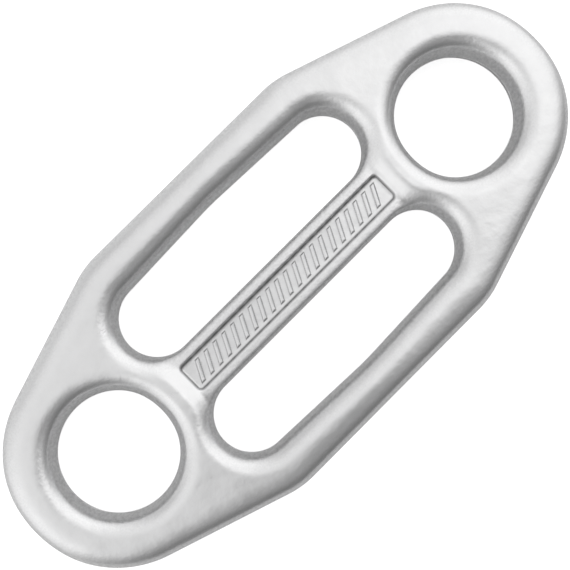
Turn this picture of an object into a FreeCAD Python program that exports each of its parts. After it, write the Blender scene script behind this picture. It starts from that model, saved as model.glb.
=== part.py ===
import FreeCAD, Part
import math
import os
import Sketcher

# Belay plate: one hot forging in aluminium alloy. A long ring-ended frame with
# a round eye in each end and two long rope slots, parted by a central bar.
# Frame of the part: X along the plate, Y across it, Z up out of the face.
# The origin is the middle of the plate. All sizes are millimetres.

V = FreeCAD.Vector
doc = FreeCAD.newDocument("belay_plate")

# ---------------------------------------------------------------- dimensions
dims = doc.addObject("Spreadsheet::Sheet", "dims")
VALUES = [
    # plan of the frame
    ("thickness", 9.8),            # over the flat faces
    ("half_width", 26.6),          # middle line to the long sides
    ("eye_offset", 40.8),          # middle of the plate to each eye's centre
    ("eye_radius", 10.4),          # bore of each eye
    ("end_radius", 19.7),          # rounded ends, concentric with the eyes
    ("flank_angle", 18.13),        # taper of the flanks to the long sides, degrees
    ("corner_radius", 16.3),       # where a flank turns into a long side
    # rope slots, measured on the mid-plane
    ("slot_arc_x", 20.09),         # centre of each rounded slot corner
    ("slot_arc_y", 11.54),
    ("slot_arc_radius", 6.54),
    ("slot_crown", 18.82),         # outer side of a slot, at its highest point
    ("crown_radius", 60.0),        # soft knuckle of that side
    # roundings of the frame
    ("outer_round", 4.3),
    ("eye_round", 3.6),
    ("slot_round", 3.1),
    # central bar
    ("bar_half_height", 3.95),
    ("bar_inset", 0.04),           # bar side behind the slot corner's cylinder
    ("bar_draft", 7.0),            # forging draft of the bar's sides, degrees
    ("bar_round", 1.0),
    ("bar_root_radius", 13.9),     # how far the bar's root runs into the end rings
    ("bar_root_turn", 20.0),       # root's flare past the slot corner, degrees
    # shallow panel in the bar, on both faces, with a row of plain slanted ribs
    ("panel_half_length", 23.9),
    ("panel_half_width", 2.75),
    ("panel_corner", 0.8),
    ("panel_depth", 0.5),
    ("rib_count", 21.0),
    ("rib_pitch", 2.1),
    ("rib_width", 0.75),
    ("rib_half_height", 1.85),
    ("rib_slant", 1.9),            # how far a rib's top leans past its foot
    ("rib_rise", 0.3),
]
for row, (name, value) in enumerate(VALUES, start=1):
    dims.set("A%d" % row, name)
    dims.set("B%d" % row, repr(float(value)))
    dims.setAlias("B%d" % row, name)
doc.recompute()
D = {name: float(dims.get(name)) for name, _ in VALUES}


# ------------------------------------------------------------------- helpers
def plane(body, role):
    """The body's own origin plane with this role."""
    return [f for f in body.Origin.OriginFeatures if f.Role == role][0]


def sketch_on(body, name, height=None):
    """A sketch on the body's XY plane, raised by an expression if one is given."""
    sk = body.newObject("Sketcher::SketchObject", name)
    sk.AttachmentSupport = [(plane(body, "XY_Plane"), "")]
    sk.MapMode = "FlatFace"
    if height:
        sk.setExpression("AttachmentOffset.Base.z", height)
    return sk


def line(sk, p, q):
    return sk.addGeometry(Part.LineSegment(V(p[0], p[1], 0), V(q[0], q[1], 0)), False)


def arc(sk, c, r, a0, a1):
    """Arc drawn anticlockwise from a0 to a1, in radians."""
    circle = Part.Circle(V(c[0], c[1], 0), V(0, 0, 1), r)
    return sk.addGeometry(Part.ArcOfCircle(circle, a0, a1), False)


def bound(sk, constraint, expression):
    """Adds a dimension and binds it to the sheet."""
    index = sk.addConstraint(constraint)
    sk.setExpression("Constraints[%d]" % index, expression)
    return index


def on_circle(c, r, a):
    return (c[0] + r * math.cos(a), c[1] + r * math.sin(a))


START, END, CENTRE = 1, 2, 3


def checked(obj):
    doc.recompute()
    if "Invalid" in obj.State or "Error" in obj.State:
        raise RuntimeError("%s failed: %s" % (obj.Name, obj.State))
    if hasattr(obj, "Shape") and (obj.Shape.isNull() or not obj.Shape.isValid()):
        raise RuntimeError("%s has no valid shape" % obj.Name)
    return obj


def solved(sk):
    """A sketch must be fully constrained and closed."""
    doc.recompute()
    state = sk.solve()
    if state != 0 or not sk.FullyConstrained:
        raise RuntimeError("%s: solver %s, fully constrained %s" % (sk.Name, state, sk.FullyConstrained))
    return checked(sk)


def pick(feature, test):
    """Names of the feature's edges that pass the test."""
    return ["Edge%d" % (i + 1) for i, e in enumerate(feature.Shape.Edges) if test(e)]


def rounding(body, base, names, radius, label):
    f = body.newObject("PartDesign::Fillet", label)
    f.Base = (base, names)
    f.Radius = dims.get(radius)
    f.setExpression("Radius", "dims." + radius)
    before = base.Shape.Volume
    checked(f)
    print("%-18s %3d edges, volume %+9.2f" % (label, len(names), f.Shape.Volume - before))
    return f


def flat_at(e, z):
    return all(abs(abs(v.Point.z) - z) < 1e-4 for v in e.Vertexes) and abs(abs(e.CenterOfMass.z) - z) < 1e-4


HALF = D["thickness"] / 2

# --------------------------------------------------------- blank of the frame
frame = doc.addObject("PartDesign::Body", "frame_blank")
frame.Label = "frame_blank"

a, re_, w, rc = D["eye_offset"], D["end_radius"], D["half_width"], D["corner_radius"]
ta = math.radians(D["flank_angle"])
# the flank touches the end arc where the arc's normal leans ta from the Y axis
touch = math.pi / 2 - ta
pe = on_circle((a, 0), re_, touch)
# centre of the corner arc: rc inside the long side and inside the flank
nx, ny = math.cos(touch), math.sin(touch)
dist = a * nx + re_
xc = (dist - rc - (w - rc) * ny) / nx
pc0 = on_circle((xc, w - rc), rc, touch)
pc1 = (xc, w)

sk = sketch_on(frame, "outline")
g_end_r = arc(sk, (a, 0), re_, -touch, touch)
g_fl_1 = line(sk, pe, pc0)
g_co_1 = arc(sk, (xc, w - rc), rc, touch, math.pi / 2)
g_top = line(sk, pc1, (-xc, w))
g_co_2 = arc(sk, (-xc, w - rc), rc, math.pi / 2, math.pi - touch)
g_fl_2 = line(sk, (-pc0[0], pc0[1]), (-pe[0], pe[1]))
g_end_l = arc(sk, (-a, 0), re_, math.pi - touch, math.pi + touch)
g_fl_3 = line(sk, (-pe[0], -pe[1]), (-pc0[0], -pc0[1]))
g_co_3 = arc(sk, (-xc, rc - w), rc, math.pi + touch, 1.5 * math.pi)
g_bot = line(sk, (-xc, -w), (xc, -w))
g_co_4 = arc(sk, (xc, rc - w), rc, -math.pi / 2, -touch)
g_fl_4 = line(sk, (pc0[0], -pc0[1]), (pe[0], -pe[1]))
chain = [g_end_r, g_fl_1, g_co_1, g_top, g_co_2, g_fl_2, g_end_l, g_fl_3, g_co_3, g_bot, g_co_4, g_fl_4]
for one, two in zip(chain, chain[1:] + chain[:1]):
    sk.addConstraint(Sketcher.Constraint("Tangent", one, END, two, START))
for g in (g_top, g_bot):
    sk.addConstraint(Sketcher.Constraint("Horizontal", g))
for g in (g_end_r, g_end_l):
    sk.addConstraint(Sketcher.Constraint("PointOnObject", g, CENTRE, -1))
    bound(sk, Sketcher.Constraint("Radius", g, re_), "dims.end_radius")
bound(sk, Sketcher.Constraint("DistanceX", -1, 1, g_end_r, CENTRE, a), "dims.eye_offset")
bound(sk, Sketcher.Constraint("DistanceX", g_end_l, CENTRE, -1, 1, a), "dims.eye_offset")
for g in (g_co_1, g_co_2, g_co_3, g_co_4):
    bound(sk, Sketcher.Constraint("Radius", g, rc), "dims.corner_radius")
bound(sk, Sketcher.Constraint("DistanceY", -1, 1, g_top, START, w), "dims.half_width")
bound(sk, Sketcher.Constraint("DistanceY", g_bot, START, -1, 1, w), "dims.half_width")
# flanks: the direction in which each one is drawn
for flank, angle, expression in ((g_fl_1, math.pi - ta, "180 deg - dims.flank_angle * 1 deg"),
                                 (g_fl_2, ta - math.pi, "dims.flank_angle * 1 deg - 180 deg"),
                                 (g_fl_3, -ta, "-dims.flank_angle * 1 deg"),
                                 (g_fl_4, ta, "dims.flank_angle * 1 deg")):
    bound(sk, Sketcher.Constraint("Angle", flank, angle), expression)
outline = solved(sk)

pad = frame.newObject("PartDesign::Pad", "frame_pad")
pad.Profile = outline
pad.SideType = "Symmetric"
pad.setExpression("Length", "dims.thickness")
checked(pad)
f_outer = rounding(frame, pad, pick(pad, lambda e: flat_at(e, HALF)), "outer_round", "outer_rounding")

# eyes
sk = sketch_on(frame, "eyes")
for sign in (1, -1):
    g = sk.addGeometry(Part.Circle(V(sign * a, 0, 0), V(0, 0, 1), D["eye_radius"]), False)
    bound(sk, Sketcher.Constraint("Radius", g, D["eye_radius"]), "dims.eye_radius")
    sk.addConstraint(Sketcher.Constraint("PointOnObject", g, CENTRE, -1))
    if sign > 0:
        bound(sk, Sketcher.Constraint("DistanceX", -1, 1, g, CENTRE, a), "dims.eye_offset")
    else:
        bound(sk, Sketcher.Constraint("DistanceX", g, CENTRE, -1, 1, a), "dims.eye_offset")
eyes = solved(sk)
cut = frame.newObject("PartDesign::Pocket", "eye_bores")
cut.Profile = eyes
cut.SideType = "Symmetric"
cut.Type = "Length"
cut.setExpression("Length", "dims.thickness + 2")
checked(cut)
removed = f_outer.Shape.Volume - cut.Shape.Volume
if abs(removed - 2 * math.pi * D["eye_radius"] ** 2 * D["thickness"]) > 1:
    raise RuntimeError("the eyes cut %.2f" % removed)
f_eye = rounding(frame, cut, pick(cut, lambda e: flat_at(e, HALF) and isinstance(e.Curve, Part.Circle)
                                  and abs(e.Curve.Radius - D["eye_radius"]) < 1e-6
                                  and abs(abs(e.CenterOfMass.x) - a) < 0.01), "eye_round", "eye_rounding")

# one window holds both rope slots and the place of the bar between them
sx, sy, sr = D["slot_arc_x"], D["slot_arc_y"], D["slot_arc_radius"]
crown, ck = D["slot_crown"], D["crown_radius"]
ring = math.hypot(a - sx, sy) - sr
tp = math.atan2(-sy, a - sx)                       # from a slot corner to the eye
# common tangent of the slot corner and the crown arc, both convex the same way
dx, dy = sx, sy - (crown - ck)
dd = math.hypot(dx, dy)
tt = math.atan2(dy, dx) + math.acos((ck - sr) / dd)
lean = math.pi / 2 - tt
print("end ring half-way radius %.3f, slot side leans %.3f deg" % (ring, math.degrees(lean)))
cr_r, cr_l = on_circle((0, crown - ck), ck, tt), on_circle((0, crown - ck), ck, math.pi - tt)
sl_r, sl_l = on_circle((sx, sy), sr, tt), on_circle((-sx, sy), sr, math.pi - tt)

sk = sketch_on(frame, "window")
al = math.atan2(sy, -(a - sx))                     # from the eye to the slot corner
g_rr = arc(sk, (a, 0), ring, al, 2 * math.pi - al)
g_s1 = arc(sk, (sx, sy), sr, tp, tt)
g_l1 = line(sk, sl_r, cr_r)
g_c1 = arc(sk, (0, crown - ck), ck, tt, math.pi - tt)
g_l2 = line(sk, cr_l, sl_l)
g_s2 = arc(sk, (-sx, sy), sr, math.pi - tt, math.pi - tp)
g_rl = arc(sk, (-a, 0), ring, al - math.pi, math.pi - al)
g_s3 = arc(sk, (-sx, -sy), sr, math.pi + tp, math.pi + tt)
g_l3 = line(sk, (sl_l[0], -sl_l[1]), (cr_l[0], -cr_l[1]))
g_c2 = arc(sk, (0, ck - crown), ck, math.pi + tt, 2 * math.pi - tt)
g_l4 = line(sk, (cr_r[0], -cr_r[1]), (sl_r[0], -sl_r[1]))
g_s4 = arc(sk, (sx, -sy), sr, -tt, -tp)
# the two ring arcs run the other way round, so their ends are named one by one
joins = [(g_s1, END, g_l1, START), (g_l1, END, g_c1, START), (g_c1, END, g_l2, START), (g_l2, END, g_s2, START),
         (g_s2, END, g_rl, END), (g_rl, START, g_s3, START), (g_s3, END, g_l3, START), (g_l3, END, g_c2, START),
         (g_c2, END, g_l4, START), (g_l4, END, g_s4, START), (g_s4, END, g_rr, END), (g_rr, START, g_s1, START)]
for one, p1, two, p2 in joins:
    sk.addConstraint(Sketcher.Constraint("Tangent", one, p1, two, p2))
for g, qx, qy in ((g_s1, 1, 1), (g_s2, -1, 1), (g_s3, -1, -1), (g_s4, 1, -1)):
    bound(sk, Sketcher.Constraint("Radius", g, sr), "dims.slot_arc_radius")
    ends = (-1, 1, g, CENTRE) if qx > 0 else (g, CENTRE, -1, 1)
    bound(sk, Sketcher.Constraint("DistanceX", *ends, sx), "dims.slot_arc_x")
    ends = (-1, 1, g, CENTRE) if qy > 0 else (g, CENTRE, -1, 1)
    bound(sk, Sketcher.Constraint("DistanceY", *ends, sy), "dims.slot_arc_y")
bound(sk, Sketcher.Constraint("DistanceX", -1, 1, g_rr, CENTRE, a), "dims.eye_offset")
bound(sk, Sketcher.Constraint("DistanceX", g_rl, CENTRE, -1, 1, a), "dims.eye_offset")
for g, up in ((g_c1, True), (g_c2, False)):
    bound(sk, Sketcher.Constraint("Radius", g, ck), "dims.crown_radius")
    sk.addConstraint(Sketcher.Constraint("PointOnObject", g, CENTRE, -2))
    ends = (g, CENTRE, -1, 1) if up else (-1, 1, g, CENTRE)
    bound(sk, Sketcher.Constraint("DistanceY", *ends, ck - crown), "dims.crown_radius - dims.slot_crown")
window_sketch = solved(sk)
window = frame.newObject("PartDesign::Pocket", "window_cut")
window.Profile = window_sketch
window.SideType = "Symmetric"
window.Type = "Length"
window.setExpression("Length", "dims.thickness + 2")
checked(window)
print("window cuts %.1f" % (f_eye.Shape.Volume - window.Shape.Volume))
if not 1000 < f_eye.Shape.Volume - window.Shape.Volume < 40000:
    raise RuntimeError("the window cut the wrong way")
f_window = rounding(frame, window, pick(window, lambda e: flat_at(e, HALF) and abs(e.CenterOfMass.x) < a - 12
                                        and abs(e.CenterOfMass.y) < D["slot_crown"] + 0.5), "slot_round", "slot_rounding")

# ----------------------------------------------------------- blank of the bar
bar = doc.addObject("PartDesign::Body", "bar_blank")
bar.Label = "bar_blank"
inset = D["bar_inset"]
fr = sr + inset                                    # flare radius of the bar's root
hb = sy - fr                                       # half width on the parting plane
turn = tp + math.radians(D["bar_root_turn"])       # where the flare ends, in the ring
q1 = on_circle((sx, sy), fr, turn)
to_eye = math.atan2(q1[1], q1[0] - a)
q2 = on_circle((a, 0), D["bar_root_radius"], to_eye)

sk = sketch_on(bar, "bar_plan")
g_t = line(sk, (sx, hb), (-sx, hb))
g_f2 = arc(sk, (-sx, sy), fr, math.pi - turn, 1.5 * math.pi)
g_r2 = line(sk, (-q1[0], q1[1]), (-q2[0], q2[1]))
g_a2 = arc(sk, (-a, 0), D["bar_root_radius"], to_eye - math.pi, math.pi - to_eye)
g_r3 = line(sk, (-q2[0], -q2[1]), (-q1[0], -q1[1]))
g_f3 = arc(sk, (-sx, -sy), fr, math.pi / 2, math.pi + turn)
g_b = line(sk, (-sx, -hb), (sx, -hb))
g_f4 = arc(sk, (sx, -sy), fr, -turn, math.pi / 2)
g_r4 = line(sk, (q1[0], -q1[1]), (q2[0], -q2[1]))
g_a1 = arc(sk, (a, 0), D["bar_root_radius"], to_eye, 2 * math.pi - to_eye)
g_r1 = line(sk, (q2[0], q2[1]), (q1[0], q1[1]))
g_f1 = arc(sk, (sx, sy), fr, -math.pi / 2, turn)
for one, p1, two, p2 in ((g_t, END, g_f2, END), (g_f3, START, g_b, START), (g_b, END, g_f4, END), (g_f1, START, g_t, START)):
    sk.addConstraint(Sketcher.Constraint("Tangent", one, p1, two, p2))
for one, p1, two, p2 in ((g_f2, START, g_r2, START), (g_r2, END, g_a2, END), (g_a2, START, g_r3, START),
                         (g_r3, END, g_f3, END), (g_f4, START, g_r4, START), (g_r4, END, g_a1, END),
                         (g_a1, START, g_r1, START), (g_r1, END, g_f1, END)):
    sk.addConstraint(Sketcher.Constraint("Coincident", one, p1, two, p2))
sk.addConstraint(Sketcher.Constraint("Horizontal", g_t))
sk.addConstraint(Sketcher.Constraint("Horizontal", g_b))
for g, qx, qy in ((g_f1, 1, 1), (g_f2, -1, 1), (g_f3, -1, -1), (g_f4, 1, -1)):
    ends = (-1, 1, g, CENTRE) if qx > 0 else (g, CENTRE, -1, 1)
    bound(sk, Sketcher.Constraint("DistanceX", *ends, sx), "dims.slot_arc_x")
    ends = (-1, 1, g, CENTRE) if qy > 0 else (g, CENTRE, -1, 1)
    bound(sk, Sketcher.Constraint("DistanceY", *ends, sy), "dims.slot_arc_y")
for g in (g_f1, g_f3):
    bound(sk, Sketcher.Constraint("Radius", g, fr), "dims.slot_arc_radius + dims.bar_inset")
for g, sign in ((g_a1, 1), (g_a2, -1)):
    bound(sk, Sketcher.Constraint("Radius", g, D["bar_root_radius"]), "dims.bar_root_radius")
    sk.addConstraint(Sketcher.Constraint("PointOnObject", g, CENTRE, -1))
    ends = (-1, 1, g, CENTRE) if sign > 0 else (g, CENTRE, -1, 1)
    bound(sk, Sketcher.Constraint("DistanceX", *ends, a), "dims.eye_offset")
# each root line points at the eye's centre, and starts where the flare ends
for g, centre in ((g_r1, g_a1), (g_r4, g_a1), (g_r2, g_a2), (g_r3, g_a2)):
    sk.addConstraint(Sketcher.Constraint("PointOnObject", centre, CENTRE, g))
for g, p, up in ((g_r1, END, 1), (g_r4, START, -1), (g_r2, START, 1), (g_r3, END, -1)):
    ends = (-1, 1, g, p) if up > 0 else (g, p, -1, 1)
    bound(sk, Sketcher.Constraint("DistanceY", *ends, q1[1]),
          "dims.slot_arc_y + (dims.slot_arc_radius + dims.bar_inset) * "
          "sin((dims.bar_root_turn - atan(dims.slot_arc_y / (dims.eye_offset - dims.slot_arc_x)) / 1 deg) * 1 deg)")
bar_plan = solved(sk)

# both halves of the bar draw in from the parting plane
halves = bar.newObject("PartDesign::Pad", "bar_pad")
halves.Profile = bar_plan
halves.SideType = "Two sides"
halves.setExpression("Length", "dims.bar_half_height")
halves.setExpression("Length2", "dims.bar_half_height")
halves.setExpression("TaperAngle", "-dims.bar_draft * 1 deg")
halves.setExpression("TaperAngle2", "-dims.bar_draft * 1 deg")
checked(halves)
zb = D["bar_half_height"]
print("bar: middle width %.2f on the parting plane, box %s" % (2 * hb, halves.Shape.BoundBox))
f_bar = rounding(bar, halves, pick(halves, lambda e: flat_at(e, zb) and abs(e.CenterOfMass.x) < q1[0] - 0.4
                                   and abs(e.CenterOfMass.y) > 3), "bar_round", "bar_rounding")

# -------------------------------------------------- one forging, then its panel
joined = frame.newObject("PartDesign::Boolean", "joined")
joined.Type = "Fuse"
joined.setObjects([bar])
checked(joined)
print("joined: %d solid(s), volume %.1f" % (len(joined.Shape.Solids), joined.Shape.Volume))

sk = sketch_on(frame, "panel_plan", "dims.bar_half_height")
pl, pw, pr = D["panel_half_length"], D["panel_half_width"], D["panel_corner"]
p_t = line(sk, (pl - pr, pw), (pr - pl, pw))
p_2 = arc(sk, (pr - pl, pw - pr), pr, math.pi / 2, math.pi)
p_l = line(sk, (-pl, pw - pr), (-pl, pr - pw))
p_3 = arc(sk, (pr - pl, pr - pw), pr, math.pi, 1.5 * math.pi)
p_b = line(sk, (pr - pl, -pw), (pl - pr, -pw))
p_4 = arc(sk, (pl - pr, pr - pw), pr, -math.pi / 2, 0)
p_r = line(sk, (pl, pr - pw), (pl, pw - pr))
p_1 = arc(sk, (pl - pr, pw - pr), pr, 0, math.pi / 2)
chain = [p_t, p_2, p_l, p_3, p_b, p_4, p_r, p_1]
for one, two in zip(chain, chain[1:] + chain[:1]):
    sk.addConstraint(Sketcher.Constraint("Tangent", one, END, two, START))
for g in (p_t, p_b):
    sk.addConstraint(Sketcher.Constraint("Horizontal", g))
for g in (p_l, p_r):
    sk.addConstraint(Sketcher.Constraint("Vertical", g))
for g in (p_1, p_2, p_3, p_4):
    bound(sk, Sketcher.Constraint("Radius", g, pr), "dims.panel_corner")
bound(sk, Sketcher.Constraint("DistanceY", -1, 1, p_t, START, pw), "dims.panel_half_width")
bound(sk, Sketcher.Constraint("DistanceY", p_b, START, -1, 1, pw), "dims.panel_half_width")
bound(sk, Sketcher.Constraint("DistanceX", -1, 1, p_r, START, pl), "dims.panel_half_length")
bound(sk, Sketcher.Constraint("DistanceX", p_l, START, -1, 1, pl), "dims.panel_half_length")
panel_plan = solved(sk)
panel = frame.newObject("PartDesign::Pocket", "panel")
panel.Profile = panel_plan
panel.Type = "Length"
panel.setExpression("Length", "dims.panel_depth")
checked(panel)
print("panel cuts %.2f" % (joined.Shape.Volume - panel.Shape.Volume))
panels = frame.newObject("PartDesign::Mirrored", "panel_both_faces")
panels.Originals = [panel]
panels.MirrorPlane = (plane(frame, "XY_Plane"), [""])
frame.Tip = panels
checked(panels)
print("both panels cut %.2f" % (joined.Shape.Volume - panels.Shape.Volume))

# a rib is a slanted bar that stands through the plate's bar and out of both panels
sk = sketch_on(frame, "rib_plan")
rh, rw, rs = D["rib_half_height"], D["rib_width"] / 2, D["rib_slant"] / 2
first = -(D["rib_count"] - 1) / 2 * D["rib_pitch"]
c = [(first - rs - rw, -rh), (first - rs + rw, -rh), (first + rs + rw, rh), (first + rs - rw, rh)]
r_b, r_r, r_t, r_l = line(sk, c[0], c[1]), line(sk, c[1], c[2]), line(sk, c[2], c[3]), line(sk, c[3], c[0])
for one, two in zip((r_b, r_r, r_t, r_l), (r_r, r_t, r_l, r_b)):
    sk.addConstraint(Sketcher.Constraint("Coincident", one, END, two, START))
sk.addConstraint(Sketcher.Constraint("Horizontal", r_b))
sk.addConstraint(Sketcher.Constraint("Horizontal", r_t))
sk.addConstraint(Sketcher.Constraint("Parallel", r_r, r_l))
bound(sk, Sketcher.Constraint("DistanceX", r_b, START, r_b, END, 2 * rw), "dims.rib_width")
bound(sk, Sketcher.Constraint("DistanceX", r_b, START, r_t, END, 2 * rs), "dims.rib_slant")
bound(sk, Sketcher.Constraint("DistanceY", r_b, START, -1, 1, rh), "dims.rib_half_height")
bound(sk, Sketcher.Constraint("DistanceY", -1, 1, r_t, START, rh), "dims.rib_half_height")
bound(sk, Sketcher.Constraint("DistanceX", r_b, START, -1, 1, -c[0][0]),
      "(dims.rib_count - 1) / 2 * dims.rib_pitch + dims.rib_slant / 2 + dims.rib_width / 2")
rib_plan = solved(sk)
rib = frame.newObject("PartDesign::Pad", "rib")
rib.Profile = rib_plan
rib.SideType = "Symmetric"
rib.setExpression("Length", "2 * (dims.bar_half_height - dims.panel_depth + dims.rib_rise)")
checked(rib)
ribs = frame.newObject("PartDesign::LinearPattern", "rib_row")
ribs.Originals = [rib]
ribs.Direction = (plane(frame, "X_Axis"), [""])
ribs.setExpression("Length", "(dims.rib_count - 1) * dims.rib_pitch")
ribs.setExpression("Occurrences", "dims.rib_count")
frame.Tip = ribs
checked(ribs)
print("ribs add %.2f" % (ribs.Shape.Volume - panels.Shape.Volume))

# ------------------------------------------------------------------ the piece
frame.Label = "plate"
frame.Placement = FreeCAD.Placement(V(0, 0, 0), FreeCAD.Rotation())
doc.recompute()
for obj in doc.Objects:
    if "Invalid" in obj.State or "Error" in obj.State:
        raise RuntimeError("%s failed: %s" % (obj.Name, obj.State))
plate = frame.Shape
if plate.isNull() or not plate.isValid() or len(plate.Solids) != 1:
    raise RuntimeError("the plate isn't one valid solid")
bb = plate.optimalBoundingBox(False)
print("plate: %.3f x %.3f x %.3f, volume %.1f mm3, %d faces" % (bb.XLength, bb.YLength, bb.ZLength, plate.Volume, len(plate.Faces)))

os.makedirs("parts", exist_ok=True)
for piece in (frame,):
    piece.Shape.exportStep("parts/%s.step" % piece.Label)
    print("wrote parts/%s.step" % piece.Label)
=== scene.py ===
import bpy
import math
import numpy as np
from mathutils import Vector, Matrix
from mathutils.geometry import delaunay_2d_cdt


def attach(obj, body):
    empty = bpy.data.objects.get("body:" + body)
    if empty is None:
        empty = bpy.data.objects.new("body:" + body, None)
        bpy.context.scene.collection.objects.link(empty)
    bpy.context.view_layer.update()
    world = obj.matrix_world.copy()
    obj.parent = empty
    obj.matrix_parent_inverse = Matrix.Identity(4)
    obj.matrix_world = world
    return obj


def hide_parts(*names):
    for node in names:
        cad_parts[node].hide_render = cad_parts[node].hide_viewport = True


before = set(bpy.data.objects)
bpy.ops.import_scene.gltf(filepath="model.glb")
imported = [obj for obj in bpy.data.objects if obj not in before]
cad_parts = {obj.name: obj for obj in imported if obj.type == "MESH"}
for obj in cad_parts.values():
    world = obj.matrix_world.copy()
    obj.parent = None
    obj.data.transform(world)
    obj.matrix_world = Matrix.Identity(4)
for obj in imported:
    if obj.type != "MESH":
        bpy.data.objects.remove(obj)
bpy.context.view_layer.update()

# =============================================================================
# The forging, as a function z = top(x, y). Sizes in millimetres, in the row's
# frame: X along the plate, Y across it, the parting plane at z = 0.
# =============================================================================
T2 = 4.9                     # half the thickness
EYE_X, EYE_R = 40.8, 10.48
EYE_IN = 0.32                # how far the eye's wall stands in at the web
END_R = 19.7
TIP = 0.26                   # how much the plate's ends are flattened
SIDE = 26.6
LEAN = math.radians(18.13)   # flank to long side
CORNER_R = 16.3
SLOT_X, SLOT_Y, SLOT_R = 20.18, 11.54, 6.61
CROWN, CROWN_R = 18.89, 60.07
BAR_TOP = 3.95
PANEL_X, PANEL_Y, PANEL_R, PANEL_D = 23.40, 2.64, 0.8, 0.72
PANEL_MID = 0.07             # the panel sits this far off the bar's middle
RIBS, PITCH, RIB_W, RIB_H, RIB_SLANT, RIB_RISE = 21, 2.1, 0.75, 1.74, 1.9 / 3.7, 0.34

# rims: width, fullness at the wall and at the top (2 and 2 is an ellipse), draft of the wall
OUT_RIM = (4.75, 4.2, 2.85, 7.0)
EYE_RIM = (4.1, 4.5, 2.68, 9.5)
WEB_RIM = (3.4, 3.3, 2.3, 9.5)    # the eye's rim beside the bar, where the ring is rounder
SLOT_RIM = (3.88, 3.7, 2.38, 4.7)
TURN_RIM = 1.25               # angle round a slot's end in which the bar's edge becomes the frame's rim
TURN_LAND = (-1.25, -0.25)    # and the part of it in which the bar's land ends
RISE = (14.1, 18.2)          # distances from the eye between which the land rises to the frame
R_BAR = 0.85
BEAD = 0.08                  # how much the lands beside the panel are crowned
BAND = 0.28                  # half height of the trimmed parting band
STEP = 0.03                  # how far the walls stand back from that band

# outline helpers
touch = math.pi / 2 - LEAN
NX, NY = math.cos(touch), math.sin(touch)
FLANK = EYE_X * NX + END_R
CORNER_X = (FLANK - CORNER_R - (SIDE - CORNER_R) * NY) / NX
# slot helpers
_dx, _dy = SLOT_X, SLOT_Y - (CROWN - CROWN_R)
TOPN = math.atan2(_dy, _dx) + math.acos((CROWN_R - SLOT_R) / math.hypot(_dx, _dy))
TNX, TNY = math.cos(TOPN), math.sin(TOPN)
TOPH = SLOT_X * TNX + SLOT_Y * TNY + SLOT_R


def eye_radius(a):
    """The eye's radius; a is the angle from the plate's end."""
    return EYE_R - EYE_IN * np.exp(-((math.pi - np.abs(a)) / 0.5) ** 2)


def end_radius(a):
    """The rounded end's radius; a is the angle from its tip."""
    return END_R - TIP * np.exp(-(a / 0.4) ** 2)


def d_out(x, y):
    """Depth inside the outline."""
    x, y = np.abs(x), np.abs(y)
    d = np.minimum(SIDE - y, FLANK - NX * x - NY * y)
    ex = x - EYE_X
    a = np.arctan2(y, ex)
    fan = (a <= touch) & (ex > -1e-9)
    d = np.where(fan, end_radius(a) - np.hypot(ex, y), d)
    cx, cy = x - CORNER_X, y - (SIDE - CORNER_R)
    a = np.arctan2(cy, cx)
    fan = (a >= touch) & (a <= math.pi / 2)
    return np.where(fan, CORNER_R - np.hypot(cx, cy), d)


def d_eye(x, y):
    ex = np.abs(x) - EYE_X
    return np.hypot(ex, y) - eye_radius(np.arctan2(y, ex))


def d_slot(x, y):
    """Distance outside the nearer slot."""
    x, y = np.abs(x), np.abs(y)
    d = np.maximum(SLOT_Y - SLOT_R - y, TNX * x + TNY * y - TOPH)
    cx, cy = x - SLOT_X, y - SLOT_Y
    a = np.arctan2(cy, cx)
    fan = (a >= -math.pi / 2) & (a <= TOPN)
    d = np.where(fan, np.hypot(cx, cy) - SLOT_R, d)
    ky = y - (CROWN - CROWN_R)
    a = np.arctan2(ky, x)
    return np.where((a > TOPN) & (ky > 0) & (y > SLOT_Y), np.hypot(x, ky) - CROWN_R, d)


def smooth(t):
    t = np.clip(t, 0, 1)
    return t * t * t * (t * (t * 6 - 15) + 10)


def rim_curve(width, wall, crest, draft):
    """Depths and heights of a rim, from its wall's foot to its top: a drafted wall that rounds over."""
    rise = T2 - BAND
    lean = math.tan(math.radians(draft)) * rise
    w = np.linspace(0, 1, 1500)
    u = np.concatenate([w * 0.9, 1 - 0.1 * (1 - w[1:]) ** 2])
    d = (width - lean) * (1 - (1 - u ** wall) ** (1 / crest)) + lean * u
    return STEP + d, rise * u - rise


def rim(d, curve, top):
    """Height of a rounded rim at depth d from its wall."""
    z = top + np.interp(d, curve[0], curve[1])
    return np.where(d < STEP, np.interp(d, [-1.0, 0.0, STEP], [BAND - 8.0, BAND, top + curve[1][0] + 0.02]), z)


DRAFT = math.radians(5.0)


def bar_rim(d):
    """Height of the bar's drafted side and its rounded edge."""
    c, s = math.cos(DRAFT), math.sin(DRAFT)
    cz = BAR_TOP - R_BAR
    dc = (R_BAR + (cz - BAND) * s) / c
    td = dc - R_BAR * c
    z = BAND + d / math.tan(DRAFT)
    t = np.clip((dc - d) / R_BAR, 0, 1)
    return np.where(d > td, cz + R_BAR * np.sqrt(1 - t ** 2), z)


OUT_C, EYE_C, SLOT_C, WEB_C = (rim_curve(*r) for r in (OUT_RIM, EYE_RIM, SLOT_RIM, WEB_RIM))


def panel_depth(x, y):
    """Depth inside the panel's outline, negative outside."""
    qx, qy = np.abs(x) - (PANEL_X - PANEL_R), np.abs(y - PANEL_MID) - (PANEL_Y - PANEL_R)
    out = np.hypot(np.maximum(qx, 0), np.maximum(qy, 0)) + np.minimum(np.maximum(qx, qy), 0)
    return PANEL_R - out


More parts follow.
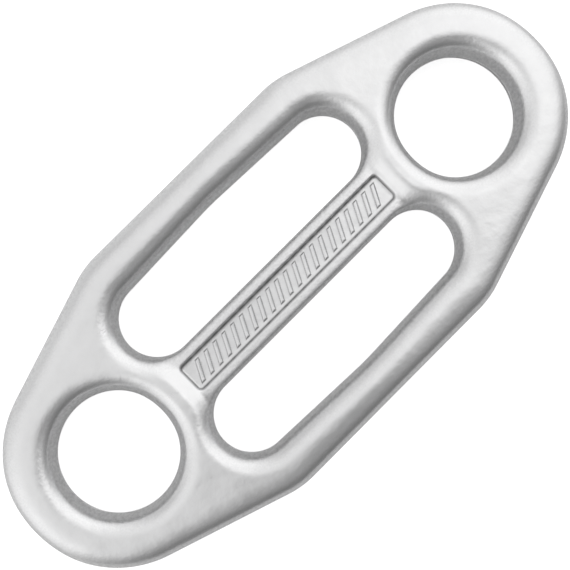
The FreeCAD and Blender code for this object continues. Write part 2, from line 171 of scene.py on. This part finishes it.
def rib_depth(x, y):
    """Depth inside the nearest slanted rib of the panel, negative outside."""
    y = y - PANEL_MID
    u = x - y * RIB_SLANT
    n = np.clip(np.round(u / PITCH), -(RIBS - 1) // 2, (RIBS - 1) // 2)
    across = np.abs(u - n * PITCH) / math.hypot(1, RIB_SLANT)
    half = RIB_W / 2 / math.hypot(1, RIB_SLANT)
    return np.minimum(half - across, RIB_H - np.abs(y))


def ledge(d, half, sharp):
    """From 0 to 1 across a small wall: rounded over at its top, filleted at its foot."""
    t = np.clip(d / half, -1, 1)
    return 0.5 + 0.5 * np.sign(t) * (1 - (1 - np.abs(t)) ** sharp)


def waviness(x, y):
    """Faint unevenness of a forged and tumbled surface."""
    return (0.016 * np.sin(0.31 * x + 0.9) * np.sin(0.37 * y + 0.4)
            + 0.010 * np.sin(0.83 * x - 0.52 * y + 1.7)
            + 0.007 * np.sin(0.21 * x + 1.13 * y + 0.3)
            + 0.005 * np.sin(1.71 * x + 0.9 * y) * np.sin(1.3 * y - 0.6 * x + 2.0))


def top(x, y):
    x, y = np.asarray(x, float), np.asarray(y, float)
    do, de, ds = d_out(x, y), d_eye(x, y), d_slot(x, y)
    ax, ay = np.abs(x), np.abs(y)
    r = np.hypot(EYE_X - ax, y)
    # round the slots' ends: from the bar's edge to the frame's rim, and from the bar's land to the frame
    phi = np.arctan2(ay - SLOT_Y, ax - SLOT_X)
    bar = (ax < SLOT_X) & (ay < SLOT_Y)
    m = np.where(bar, 0, np.where(ax < SLOT_X, 1, smooth((phi + math.pi / 2) / TURN_RIM)))
    w = np.where(bar, 1, np.where(ax < SLOT_X, 0, 1 - smooth((phi - TURN_LAND[0]) / (TURN_LAND[1] - TURN_LAND[0]))))
    bead = BEAD * (1 - np.exp(-((ay - 3.4) / 1.1) ** 2))
    land = T2 - (T2 - BAR_TOP + bead) * w * smooth((r - RISE[0]) / (RISE[1] - RISE[0]))
    # how much of the height the slots' edges take away
    cut = (1 - m) * (BAR_TOP - bar_rim(ds)) / (BAR_TOP - BAND) + m * (T2 - rim(ds, SLOT_C, T2)) / (T2 - BAND)
    web = np.exp(-(np.arctan2(y, EYE_X - ax) / 0.6) ** 2)
    eye = (1 - web) * rim(de, EYE_C, T2) + web * rim(de, WEB_C, T2)
    z = land - (land - BAND) * cut - (T2 - rim(do, OUT_C, T2)) - (T2 - eye)
    # panel and ribs
    p = panel_depth(x, y)
    z = z - PANEL_D * ledge(p, 0.46, 4)
    k = rib_depth(x, y)
    z = z + RIB_RISE * ledge(k, 0.17, 3) * (np.abs(x) < PANEL_X)
    # unevenness fades out at the walls, so that the outline stays true
    near = np.minimum(np.minimum(do, de), ds)
    z = z - (0.04 + waviness(x, y)) * smooth(near / 3.0) * (1 - 0.6 * smooth((p + 1.1) / 0.9))
    return z


# -----------------------------------------------------------------------------
# contours of the parting plane, each a closed loop with normals into the metal
# -----------------------------------------------------------------------------
def arc_pts(cx, cy, r, a0, a1, step):
    n = max(2, int(math.ceil(abs(a1 - a0) * r / step)))
    a = np.linspace(a0, a1, n + 1)[:-1]
    return np.c_[cx + r * np.cos(a), cy + r * np.sin(a), np.cos(a), np.sin(a)]


def line_pts(p, q, n, step):
    k = max(1, int(math.ceil(math.hypot(q[0] - p[0], q[1] - p[1]) / step)))
    t = np.linspace(0, 1, k + 1)[:-1, None]
    xy = np.array(p) * (1 - t) + np.array(q) * t
    return np.c_[xy, np.full(len(xy), n[0]), np.full(len(xy), n[1])]


def round_pts(radius, a0, a1, step):
    """Points and outward normals round the eye's centre, where the radius depends on the angle."""
    n = max(2, int(math.ceil((a1 - a0) * END_R / step)))
    a = np.linspace(a0, a1, n + 1)[:-1]
    r = radius(a)
    turn = (radius(a + 1e-4) - radius(a - 1e-4)) / 2e-4 / r
    n = np.c_[np.cos(a) + turn * np.sin(a), np.sin(a) - turn * np.cos(a)]
    n /= np.hypot(n[:, 0], n[:, 1])[:, None]
    return np.c_[EYE_X + r * np.cos(a), r * np.sin(a), n]


def outline(step):
    a = touch
    P = lambda ang, cx, cy, r: (cx + r * math.cos(ang), cy + r * math.sin(ang))
    cy = SIDE - CORNER_R
    end = round_pts(end_radius, -a, a, step)
    parts = [end,
             line_pts(P(a, EYE_X, 0, END_R), P(a, CORNER_X, cy, CORNER_R), (NX, NY), step),
             arc_pts(CORNER_X, cy, CORNER_R, a, math.pi / 2, step),
             line_pts((CORNER_X, SIDE), (-CORNER_X, SIDE), (0, 1), step),
             arc_pts(-CORNER_X, cy, CORNER_R, math.pi / 2, math.pi - a, step),
             line_pts(P(math.pi - a, -CORNER_X, cy, CORNER_R), P(math.pi - a, -EYE_X, 0, END_R), (-NX, NY), step),
             end * -1,
             line_pts(P(math.pi + a, -EYE_X, 0, END_R), P(math.pi + a, -CORNER_X, -cy, CORNER_R), (-NX, -NY), step),
             arc_pts(-CORNER_X, -cy, CORNER_R, math.pi + a, 1.5 * math.pi, step),
             line_pts((-CORNER_X, -SIDE), (CORNER_X, -SIDE), (0, -1), step),
             arc_pts(CORNER_X, -cy, CORNER_R, -math.pi / 2, -a, step),
             line_pts(P(-a, CORNER_X, -cy, CORNER_R), P(-a, EYE_X, 0, END_R), (NX, -NY), step)]
    loop = np.vstack(parts)
    loop[:, 2:] *= -1                       # into the metal
    return loop


def eye(sign, step):
    return round_pts(eye_radius, -math.pi, math.pi, step * END_R / EYE_R) * np.array([sign, 1, sign, 1])


def slot(sign, step):
    """A slot's loop, anticlockwise; sign is +1 for the one at +Y. Normals point out of the slot."""
    yb = SLOT_Y - SLOT_R
    t = TOPN
    cy = CROWN - CROWN_R
    P = lambda ang, cx, cyy, r: (cx + r * math.cos(ang), cyy + r * math.sin(ang))
    parts = [line_pts((-SLOT_X, yb), (SLOT_X, yb), (0, -1), step),
             arc_pts(SLOT_X, SLOT_Y, SLOT_R, -math.pi / 2, t, step),
             line_pts(P(t, SLOT_X, SLOT_Y, SLOT_R), P(t, 0, cy, CROWN_R), (TNX, TNY), step),
             arc_pts(0, cy, CROWN_R, t, math.pi - t, step),
             line_pts(P(math.pi - t, 0, cy, CROWN_R), P(math.pi - t, -SLOT_X, SLOT_Y, SLOT_R), (-TNX, TNY), step),
             arc_pts(-SLOT_X, SLOT_Y, SLOT_R, math.pi - t, 1.5 * math.pi, step)]
    loop = np.vstack(parts)
    if sign < 0:
        loop = loop[::-1] * np.array([1, -1, 1, -1])
    return loop


RINGS_AT = np.array([0.87, 0.905, 0.935, 0.96, 0.98, 0.993])
ROWS_AT = np.array([0, 0.03, 0.08, 0.14, 0.21, 0.29, 0.37, 0.45, 0.52, 0.59, 0.66, 0.72, 0.78, 0.83])


def rows(curve):
    """Depths of the rows of points along a wall, closer where the rim bends."""
    rise = T2 - BAND
    d = np.interp((ROWS_AT - 1) * rise, curve[1], curve[0])
    return np.concatenate([[0, 0.5 * STEP], d])


def by_bar(x, y):
    """The bar and where it joins the rings: meshed by an even, finer grid."""
    return (np.abs(x) < 29.8) & (np.abs(y) < 9.6)


def hex_grid(wide, high, s):
    gx, gy = np.arange(-wide, wide + 0.001, s), np.arange(-high, high + 0.001, s * math.sqrt(3) / 2)
    X, Y = np.meshgrid(gx, gy)
    X = X + (np.arange(len(gy))[:, None] % 2) * s / 2
    return X.ravel(), Y.ravel()


def build_plate():
    step = 0.45
    loops = [outline(step), eye(1, step), eye(-1, step), slot(1, step), slot(-1, step)]
    loop_rows = [rows(c) for c in (OUT_C, EYE_C, EYE_C, SLOT_C, SLOT_C)]
    verts, quads = [], []
    count = 0
    boundary = []                                       # first row of each loop: the wall's top
    inner = []                                          # last row of each loop
    for loop, row in zip(loops, loop_rows):
        n, k = len(loop), len(row)
        xy = loop[:, None, :2] + row[None, :, None] * loop[:, None, 2:]      # n x rows x 2
        flat = xy.reshape(-1, 2)
        # the band's own row, and rows set by the profile
        z = top(flat[:, 0], flat[:, 1]).reshape(n, k)
        z[:, 0] = BAND
        verts.append(np.c_[flat, z.reshape(-1)])
        idx = count + np.arange(n * k).reshape(n, k)
        count += n * k
        nxt = np.roll(idx, -1, axis=0)
        q = np.stack([idx[:, :-1], nxt[:, :-1], nxt[:, 1:], idx[:, 1:]], -1).reshape(-1, 4)
        quads.append(q)
        boundary.append(idx[:, 0])
        inner.append(idx[:, -1])
    V = np.vstack(verts)

    # inner region: triangles between the last rows
    pts, edges, ids = [], [], []
    for row in inner:
        base = len(ids)
        ids += list(row)
        pts.append(V[row, :2])
        edges += [(base + i, base + (i + 1) % len(row)) for i in range(len(row))]
    n_fixed = len(ids)
    # further rings of points on the rims, each up to where the next rim begins
    curves = (OUT_C, EYE_C, EYE_C, SLOT_C, SLOT_C)
    rings = [np.interp((RINGS_AT - 1) * (T2 - BAND), c[1], c[0]) for c in curves]
    extra = []
    for loop, depths, own in zip(loops, rings, (d_out, d_eye, d_eye, d_slot, d_slot)):
        for d in depths:
            x, y = (loop[:, :2] + d * loop[:, 2:]).T
            others = [f(x, y) for f in (d_out, d_eye, d_slot) if f is not own]
            keep = ~by_bar(x, y) & (np.minimum(*others) > d + 0.1)
            extra.append(np.c_[x[keep], y[keep]])
    m_out, m_eye, m_slot = (loop_rows[i][-1] + 0.14 for i in (0, 1, 3))
    r_out, r_eye, r_slot = (rings[i][-1] + 0.2 for i in (0, 1, 3))
    X, Y = hex_grid(61, 27, 0.42)
    keep = (d_out(X, Y) > r_out) & (d_eye(X, Y) > r_eye) & (d_slot(X, Y) > r_slot) & ~by_bar(X, Y)
    extra.append(np.c_[X[keep], Y[keep]])
    X, Y = hex_grid(30, 10, 0.21)
    keep = (d_out(X, Y) > m_out) & (d_eye(X, Y) > m_eye) & (d_slot(X, Y) > m_slot) & (panel_depth(X, Y) < -0.56) & by_bar(X, Y)
    extra.append(np.c_[X[keep], Y[keep]])
    # rows round the panel's edge
    for off in (-0.46, -0.33, -0.22, -0.14, -0.08, -0.04, 0.0, 0.04, 0.08, 0.14, 0.22, 0.33, 0.46):
        hx, hy, r = PANEL_X - off, PANEL_Y - off, max(PANEL_R - off, 0.05)
        st = 0.25
        ring = np.vstack([line_pts((hx - r, hy), (-hx + r, hy), (0, 1), st), arc_pts(-hx + r, hy - r, r, math.pi / 2, math.pi, 0.12),
                          line_pts((-hx, hy - r), (-hx, -hy + r), (-1, 0), st), arc_pts(-hx + r, -hy + r, r, math.pi, 1.5 * math.pi, 0.12),
                          line_pts((-hx + r, -hy), (hx - r, -hy), (0, -1), st), arc_pts(hx - r, -hy + r, r, -math.pi / 2, 0, 0.12),
                          line_pts((hx, -hy + r), (hx, hy - r), (1, 0), st), arc_pts(hx - r, hy - r, r, 0, math.pi / 2, 0.12)])
        extra.append(ring[:, :2] + [0, PANEL_MID])
    # the panel's floor and its ribs, on a grid that leans with the ribs
    k = math.hypot(1, RIB_SLANT)
    cols = np.array([-0.17, -0.11, -0.06, -0.02, 0.02, 0.06, 0.11, 0.17]) * k
    one = np.concatenate([-RIB_W / 2 + cols, [-0.06, 0.06], (RIB_W / 2 - cols)[::-1], [0.74, 0.90, 1.05, 1.20, 1.36]])
    us = np.concatenate([one + n * PITCH for n in range(-(RIBS - 1) // 2 - 1, (RIBS - 1) // 2 + 1)] + [np.arange(21.95, 24, 0.25)])
    ys = np.array([0, 0.3, 0.6, 0.9, 1.2, 1.34, 1.49, 1.57, 1.63, 1.68, 1.72, 1.76, 1.80, 1.85, 1.91, 2.01, 2.11])
    ys = np.concatenate([-ys[:0:-1], ys])
    U, YY = np.meshgrid(us, ys)
    XX = U + YY * RIB_SLANT
    m = panel_depth(XX, YY + PANEL_MID) > 0.52
    extra.append(np.c_[XX[m], YY[m] + PANEL_MID])
    P = np.vstack(pts + extra)
    out = delaunay_2d_cdt([Vector((float(a), float(b))) for a, b in P], edges, [], 0, 1e-7)
    co, tri_edges, tris, orig = out[0], out[1], out[2], out[3]
    co = np.array([(c[0], c[1]) for c in co])
    tris = np.array([t[:3] for t in tris])
    # which input point each output vertex is; keep the loops' own vertices
    new_id = np.empty(len(co), int)
    fresh = []
    for i, src in enumerate(orig):
        fixed = [j for j in src if j < n_fixed]
        if fixed:
            new_id[i] = ids[fixed[0]]
        else:
            new_id[i] = -1
            fresh.append(i)
    fresh = np.array(fresh)
    new_id[fresh] = len(V) + np.arange(len(fresh))
    # spread from triangle to triangle, never across a loop
    wall = {frozenset((int(a), int(b))) for a, b in edges}
    fixed_of = {}
    for i, src in enumerate(orig):
        for j in src:
            if j < n_fixed:
                fixed_of[i] = j
    by_edge = {}
    for t, (a, b, c) in enumerate(tris):
        for e in ((a, b), (b, c), (c, a)):
            by_edge.setdefault((min(e), max(e)), []).append(t)
    cen = co[tris].mean(1)
    seed = int(np.argmin(np.hypot(cen[:, 0] - 30, cen[:, 1] - 14)))
    seen = np.zeros(len(tris), bool)
    stack = [seed]
    seen[seed] = True
    while stack:
        t = stack.pop()
        a, b, c = tris[t]
        for e in ((a, b), (b, c), (c, a)):
            fa, fb = fixed_of.get(e[0]), fixed_of.get(e[1])
            if fa is not None and fb is not None and frozenset((fa, fb)) in wall:
                continue
            for o in by_edge[(min(e), max(e))]:
                if not seen[o]:
                    seen[o] = True
                    stack.append(o)
    tris = tris[seen]
    Z = top(co[fresh, 0], co[fresh, 1])
    V = np.vstack([V, np.c_[co[fresh], Z]])
    T = new_id[tris]
    area = ((V[T[:, 1], 0] - V[T[:, 0], 0]) * (V[T[:, 2], 1] - V[T[:, 0], 1]) - (V[T[:, 2], 0] - V[T[:, 0], 0]) * (V[T[:, 1], 1] - V[T[:, 0], 1]))
    T[area < 0] = T[area < 0][:, ::-1]
    Q = np.vstack(quads)
    # face the top's quads upwards
    a = V[Q[:, 1]] - V[Q[:, 0]]
    b = V[Q[:, 3]] - V[Q[:, 0]]
    up = a[:, 0] * b[:, 1] - a[:, 1] * b[:, 0]
    Q[up < 0] = Q[up < 0][:, ::-1]
    # drop points that no face uses
    used = np.zeros(len(V), bool)
    used[T.ravel()] = True
    used[Q.ravel()] = True
    remap = np.cumsum(used) - 1
    V, T, Q = V[used], remap[T], remap[Q]
    boundary = [remap[b] for b in boundary]
    # mirror for the underside
    N = len(V)
    W = np.vstack([V, V * np.array([1, 1, -1])])
    faces = [tuple(int(i) for i in f) for f in T] + [tuple(int(i) for i in f) for f in Q]
    faces += [tuple(int(i) + N for i in f[::-1]) for f in T] + [tuple(int(i) + N for i in f[::-1]) for f in Q]
    # the parting band joins them; its quads turn against the edges of the top's quads
    directed = set()
    for f in Q:
        for i in range(4):
            directed.add((int(f[i]), int(f[(i + 1) % 4])))
    for row in boundary:
        for i in range(len(row)):
            p, q = int(row[i]), int(row[(i + 1) % len(row)])
            if (p, q) in directed:
                faces.append((q, p, p + N, q + N))
            else:
                faces.append((p, q, q + N, p + N))
    return W, faces


W, faces = build_plate()
mesh = bpy.data.meshes.new("forged_plate")
mesh.from_pydata([tuple(v / 1000.0) for v in W], [], faces)
mesh.validate()
mesh.update()
plate = bpy.data.objects.new("forged_plate", mesh)
bpy.context.scene.collection.objects.link(plate)
mesh.polygons.foreach_set("use_smooth", np.ones(len(mesh.polygons), bool))
print("plate: %d vertices, %d faces" % (len(mesh.vertices), len(mesh.polygons)))
# masks for the material: painted shade in the panel's tight corners and at the ribs' feet, and the rougher walls
x, y = W[:, 0], W[:, 1]
p, k = panel_depth(x, y), rib_depth(x, y)
# painted shade: darkest just inside the panel's edge and at the ribs' feet, where shade falls
corner = np.exp(-((p - 0.10) / 0.17) ** 2) + 0.55 * np.exp(-((k + 0.04) / 0.10) ** 2) * (p > 0.3)
depth = np.minimum(np.minimum(d_out(x, y), d_eye(x, y)), d_slot(x, y))
walls = 1 - smooth((depth - 1.6) / 2.6)
steep = 1 - smooth((depth - 0.5) / 1.3)
for name, values in (("painted_corner_shade", np.minimum(corner, 1)), ("walls", walls), ("steep", steep)):
    mesh.attributes.new(name, "FLOAT", "POINT").data.foreach_set("value", values.astype(np.float32))
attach(plate, "root")
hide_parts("plate")


# =============================================================================
# material: fine blasted and tumbled aluminium
# =============================================================================
def blasted_aluminium():
    m = bpy.data.materials.new("blasted_aluminium")
    m.use_nodes = True
    nt = m.node_tree
    nt.nodes.clear()
    out = nt.nodes.new("ShaderNodeOutputMaterial")
    b = nt.nodes.new("ShaderNodeBsdfPrincipled")
    nt.links.new(b.outputs["BSDF"], out.inputs["Surface"])
    b.inputs["Metallic"].default_value = 1.0
    place = nt.nodes.new("ShaderNodeTexCoord").outputs["Object"]

    # the same place, with marks drawn out along the walls' height
    drawn = nt.nodes.new("ShaderNodeMapping")
    drawn.inputs["Scale"].default_value = (1.0, 1.0, 0.5)
    nt.links.new(place, drawn.inputs["Vector"])
    drawn = drawn.outputs["Vector"]

    def noise(cell, detail, rough=0.5, where=place):
        """Noise whose cells are about this many millimetres across."""
        n = nt.nodes.new("ShaderNodeTexNoise")
        n.inputs["Scale"].default_value = 1000.0 / cell
        n.inputs["Detail"].default_value = detail
        n.inputs["Roughness"].default_value = rough
        nt.links.new(where, n.inputs["Vector"])
        return n.outputs["Fac"]

    def spread(fac, lo, hi):
        r = nt.nodes.new("ShaderNodeMapRange")
        r.inputs["From Min"].default_value, r.inputs["From Max"].default_value = 0.3, 0.7
        r.inputs["To Min"].default_value, r.inputs["To Max"].default_value = lo, hi
        nt.links.new(fac, r.inputs["Value"])
        return r.outputs["Result"]

    def calc(op, a, c):
        n = nt.nodes.new("ShaderNodeMath")
        n.operation = op
        for i, v in enumerate((a, c)):
            if isinstance(v, (int, float)):
                n.inputs[i].default_value = v
            else:
                nt.links.new(v, n.inputs[i])
        return n.outputs[0]

    def mask(name):
        n = nt.nodes.new("ShaderNodeAttribute")
        n.attribute_name = name
        return n.outputs["Fac"]

    # colour: bright, with faint clouds and specks where the blasting bit deeper, tool marks down the walls, and
    # painted shade, a darker grey, in the corners
    tone = calc("ADD", spread(noise(9.0, 3), -0.010, 0.010), spread(noise(0.9, 2), -0.008, 0.008))
    tone = calc("ADD", tone, calc("MULTIPLY", spread(noise(0.3, 1.0), -0.035, 0.035), mask("walls")))
    tone = calc("ADD", tone, calc("MULTIPLY", spread(noise(0.5, 2.0, 0.5, drawn), -0.09, 0.09), mask("steep")))
    tone = calc("ADD", tone, ALU)
    # painted shade: the tone is darkened along the panel's edge and at the ribs' feet
    painted_corner_shade = calc("MULTIPLY", mask("painted_corner_shade"), spread(noise(1.6, 3), 0.8, 1.0))
    tone = calc("MULTIPLY", tone, calc("SUBTRACT", 1.0, calc("MULTIPLY", painted_corner_shade, PAINTED_CORNER_SHADE)))
    rgb = nt.nodes.new("ShaderNodeCombineColor")
    nt.links.new(tone, rgb.inputs["Red"])
    nt.links.new(tone, rgb.inputs["Green"])
    nt.links.new(calc("MULTIPLY", tone, 1.004), rgb.inputs["Blue"])
    nt.links.new(rgb.outputs["Color"], b.inputs["Base Color"])
    # gloss: a little uneven, and duller on the walls
    shine = calc("ADD", spread(noise(6.0, 3), -0.012, 0.012), spread(noise(1.2, 2), -0.012, 0.012))
    shine = calc("ADD", shine, calc("MULTIPLY", painted_corner_shade, 0.15))
    shine = calc("ADD", shine, calc("MULTIPLY", mask("steep"), 0.09))
    nt.links.new(calc("ADD", shine, ROUGH), b.inputs["Roughness"])
    # relief: blasted dimples, more of them on the walls and rims, and a soft ripple between them
    fine = nt.nodes.new("ShaderNodeBump")
    fine.inputs["Strength"].default_value = 1.0
    fine.inputs["Distance"].default_value = 0.001
    rough_walls = calc("MULTIPLY", calc("MULTIPLY", noise(0.42, 1.0), mask("walls")), WALL_GRAIN)
    nt.links.new(calc("ADD", calc("MULTIPLY", noise(0.75, 2.0), GRAIN), rough_walls), fine.inputs["Height"])
    soft = nt.nodes.new("ShaderNodeBump")
    soft.inputs["Strength"].default_value = 1.0
    soft.inputs["Distance"].default_value = RIPPLE * 0.001
    nt.links.new(noise(2.6, 1.0), soft.inputs["Height"])
    nt.links.new(soft.outputs["Normal"], fine.inputs["Normal"])
    nt.links.new(fine.outputs["Normal"], b.inputs["Normal"])
    return m


# PAINTED_CORNER_SHADE is how far the painted shade darkens the corners
ALU, ROUGH, GRAIN, WALL_GRAIN, RIPPLE, PAINTED_CORNER_SHADE = 0.85, 0.295, 0.020, 0.024, 0.03, 0.65
aluminium = blasted_aluminium()
plate.data.materials.append(aluminium)

# =============================================================================
# stage, lights and camera
# =============================================================================
def add_floor():
    r, z = 1.5, -T2 / 1000.0
    fm = bpy.data.meshes.new("floor")
    fm.from_pydata([(-r, -r, z), (r, -r, z), (r, r, z), (-r, r, z)], [], [(0, 1, 2, 3)])
    ob = bpy.data.objects.new("floor", fm)
    bpy.context.scene.collection.objects.link(ob)
    m = bpy.data.materials.new("white_floor")
    m.use_nodes = True
    nt = m.node_tree
    nt.nodes.clear()
    out = nt.nodes.new("ShaderNodeOutputMaterial")
    dif = nt.nodes.new("ShaderNodeBsdfDiffuse")
    place = nt.nodes.new("ShaderNodeSeparateXYZ")
    nt.links.new(nt.nodes.new("ShaderNodeTexCoord").outputs["Object"], place.inputs[0])

    def calc(op, a, c):
        n = nt.nodes.new("ShaderNodeMath")
        n.operation = op
        for i, v in enumerate((a, c)):
            if isinstance(v, (int, float)):
                n.inputs[i].default_value = v
            else:
                nt.links.new(v, n.inputs[i])
        return n.outputs[0]

    # painted shade: the floor is darker in an oval under the holes, its tone changing along X
    hole_shade = [calc("DIVIDE", place.outputs[axis], size / 1000.0) for axis, size in zip("XY", HOLE_SHADE_SIZE)]
    hole_shade = calc("ADD", calc("MULTIPLY", hole_shade[0], hole_shade[0]), calc("MULTIPLY", hole_shade[1], hole_shade[1]))
    shade = nt.nodes.new("ShaderNodeMapRange")
    shade.interpolation_type = "SMOOTHSTEP"
    for name, v in (("From Min", 0.85), ("From Max", 1.15)):
        shade.inputs[name].default_value = v
    # painted shade: the open floor is darker towards -Y and lighter towards +Y, within limits
    open_floor = calc("ADD", calc("MULTIPLY", place.outputs["Y"], FLOOR_SHADE_TILT * 1000.0), FLOOR_ALBEDO)
    nt.links.new(calc("MINIMUM", calc("MAXIMUM", open_floor, FLOOR_ALBEDO - 0.13), FLOOR_ALBEDO + 0.07), shade.inputs["To Max"])
    nt.links.new(calc("ADD", calc("MULTIPLY", place.outputs["X"], HOLE_SHADE_TILT * 1000.0), HOLE_SHADE_TONE), shade.inputs["To Min"])
    nt.links.new(hole_shade, shade.inputs["Value"])
    nt.links.new(shade.outputs["Result"], dif.inputs["Color"])
    glow = nt.nodes.new("ShaderNodeEmission")
    path = nt.nodes.new("ShaderNodeLightPath")
    mul = nt.nodes.new("ShaderNodeMath")
    mul.operation = "MULTIPLY"
    mul.inputs[1].default_value = FLOOR_GLOW
    add = nt.nodes.new("ShaderNodeAddShader")
    nt.links.new(path.outputs["Is Camera Ray"], mul.inputs[0])
    nt.links.new(mul.outputs[0], glow.inputs["Strength"])
    nt.links.new(dif.outputs[0], add.inputs[0])
    nt.links.new(glow.outputs[0], add.inputs[1])
    nt.links.new(add.outputs[0], out.inputs["Surface"])
    fm.materials.append(m)
    return ob


FLOOR_ALBEDO, FLOOR_SHADE_TILT, FLOOR_GLOW = 0.84, 0.004, 0.80   # tone, its change per mm of Y (painted shade: darker towards -Y), glow towards the camera
HOLE_SHADE_SIZE, HOLE_SHADE_TONE, HOLE_SHADE_TILT = (56.0, 22.0), 0.63, -0.0008   # painted shade under the holes: half lengths in mm, tone, its change per mm of X
floor = add_floor()

# A soft tent of light that is open towards -Y: its dim and its bright side, how far past
# the zenith the bright side reaches, how sharp its edge is, and how that edge bows
DIM, BRIGHT, REACH, SHARP, BOW = 0.198, 0.557, 0.282, 21.24, -0.001
SLOPE = (-0.108, 0.117, 0.058)         # and its even change along X, along Y and downwards
# brighter and darker patches in it: strength, tightness, degrees from overhead, azimuth
PATCHES = [
    (0.533, 3.53, 57.5, 356.4),
    (0.401, 4.21, 48.0, 192.3),
    (0.430, 79.98, 15.7, 356.8),
    (-0.575, 77.53, 14.2, 266.7),
    (-0.314, 8.57, 58.6, 92.6),
    (0.306, 4.89, 46.6, 58.8),
    (0.355, 30.15, 32.4, 323.7),
    (-0.192, 10.24, 54.3, 227.3),
    (0.198, 39.99, 36.6, 187.7),
    (-0.045, 40.01, 33.8, 83.4),
    (0.060, 40.00, 39.9, 10.8),
]


def light_tent():
    world = bpy.data.worlds.new("light_tent")
    bpy.context.scene.world = world
    world.use_nodes = True
    nt = world.node_tree
    nt.nodes.clear()
    out = nt.nodes.new("ShaderNodeOutputWorld")
    bg = nt.nodes.new("ShaderNodeBackground")
    nt.links.new(bg.outputs[0], out.inputs["Surface"])
    tc = nt.nodes.new("ShaderNodeTexCoord")
    way = nt.nodes.new("ShaderNodeVectorMath")
    way.operation = "NORMALIZE"
    nt.links.new(tc.outputs["Generated"], way.inputs[0])
    xyz = nt.nodes.new("ShaderNodeSeparateXYZ")
    nt.links.new(way.outputs[0], xyz.inputs[0])

    def calc(op, a, b=None):
        n = nt.nodes.new("ShaderNodeMath")
        n.operation = op
        for i, v in enumerate((a, b)):
            if v is None:
                continue
            if isinstance(v, (int, float)):
                n.inputs[i].default_value = v
            else:
                nt.links.new(v, n.inputs[i])
        return n.outputs[0]

    x2 = calc("MULTIPLY", xyz.outputs["X"], xyz.outputs["X"])
    edge = calc("ADD", calc("ADD", xyz.outputs["Y"], REACH), calc("MULTIPLY", x2, BOW))
    side = calc("DIVIDE", 1.0, calc("ADD", calc("EXPONENT", calc("MULTIPLY", edge, -SHARP)), 1.0))
    total = calc("ADD", calc("MULTIPLY", side, BRIGHT - DIM), DIM + SLOPE[2])
    for axis, k in zip("XYZ", (SLOPE[0], SLOPE[1], -SLOPE[2])):
        total = calc("ADD", total, calc("MULTIPLY", xyz.outputs[axis], k))
    for amp, kappa, zen, az in PATCHES:
        z, t = math.radians(zen), math.radians(az)
        dot = nt.nodes.new("ShaderNodeVectorMath")
        dot.operation = "DOT_PRODUCT"
        nt.links.new(way.outputs[0], dot.inputs[0])
        dot.inputs[1].default_value = (math.sin(z) * math.cos(t), math.sin(z) * math.sin(t), math.cos(z))
        e = calc("EXPONENT", calc("MULTIPLY", calc("SUBTRACT", dot.outputs["Value"], 1.0), kappa))
        total = calc("ADD", total, calc("MULTIPLY", e, amp))
    # seen straight from the camera, past the floor's far edge, it is as white as the floor
    path = nt.nodes.new("ShaderNodeLightPath")
    nt.links.new(calc("MAXIMUM", calc("MAXIMUM", total, 0.0), path.outputs["Is Camera Ray"]), bg.inputs["Strength"])
    bg.inputs["Color"].default_value = (1, 1, 1, 1)


light_tent()

scene = bpy.context.scene
scene.view_settings.view_transform = "Standard"

CAM_PLACE = (-7.72, 1.65, 200.00)      # millimetres
CAM_TURN = (1.1320, -1.7630, -44.9200)  # degrees
CAM_LENS = 73.30
cam_data = bpy.data.cameras.new("camera")
cam = bpy.data.objects.new("camera", cam_data)
scene.collection.objects.link(cam)
scene.camera = cam
cam_data.sensor_width = 36.0
cam_data.lens = CAM_LENS
# the camera looks nearly straight down; image right is about +X-Y and image up about +X+Y
pitch, yaw, roll = (math.radians(a) for a in CAM_TURN)
turn = Matrix.Rotation(roll, 4, "Z") @ Matrix.Rotation(pitch, 4, "X") @ Matrix.Rotation(yaw, 4, "Y")
cam.matrix_world = Matrix.Translation([c / 1000.0 for c in CAM_PLACE]) @ turn
cam_data.clip_start, cam_data.clip_end = 0.01, 10

bpy.context.view_layer.update()
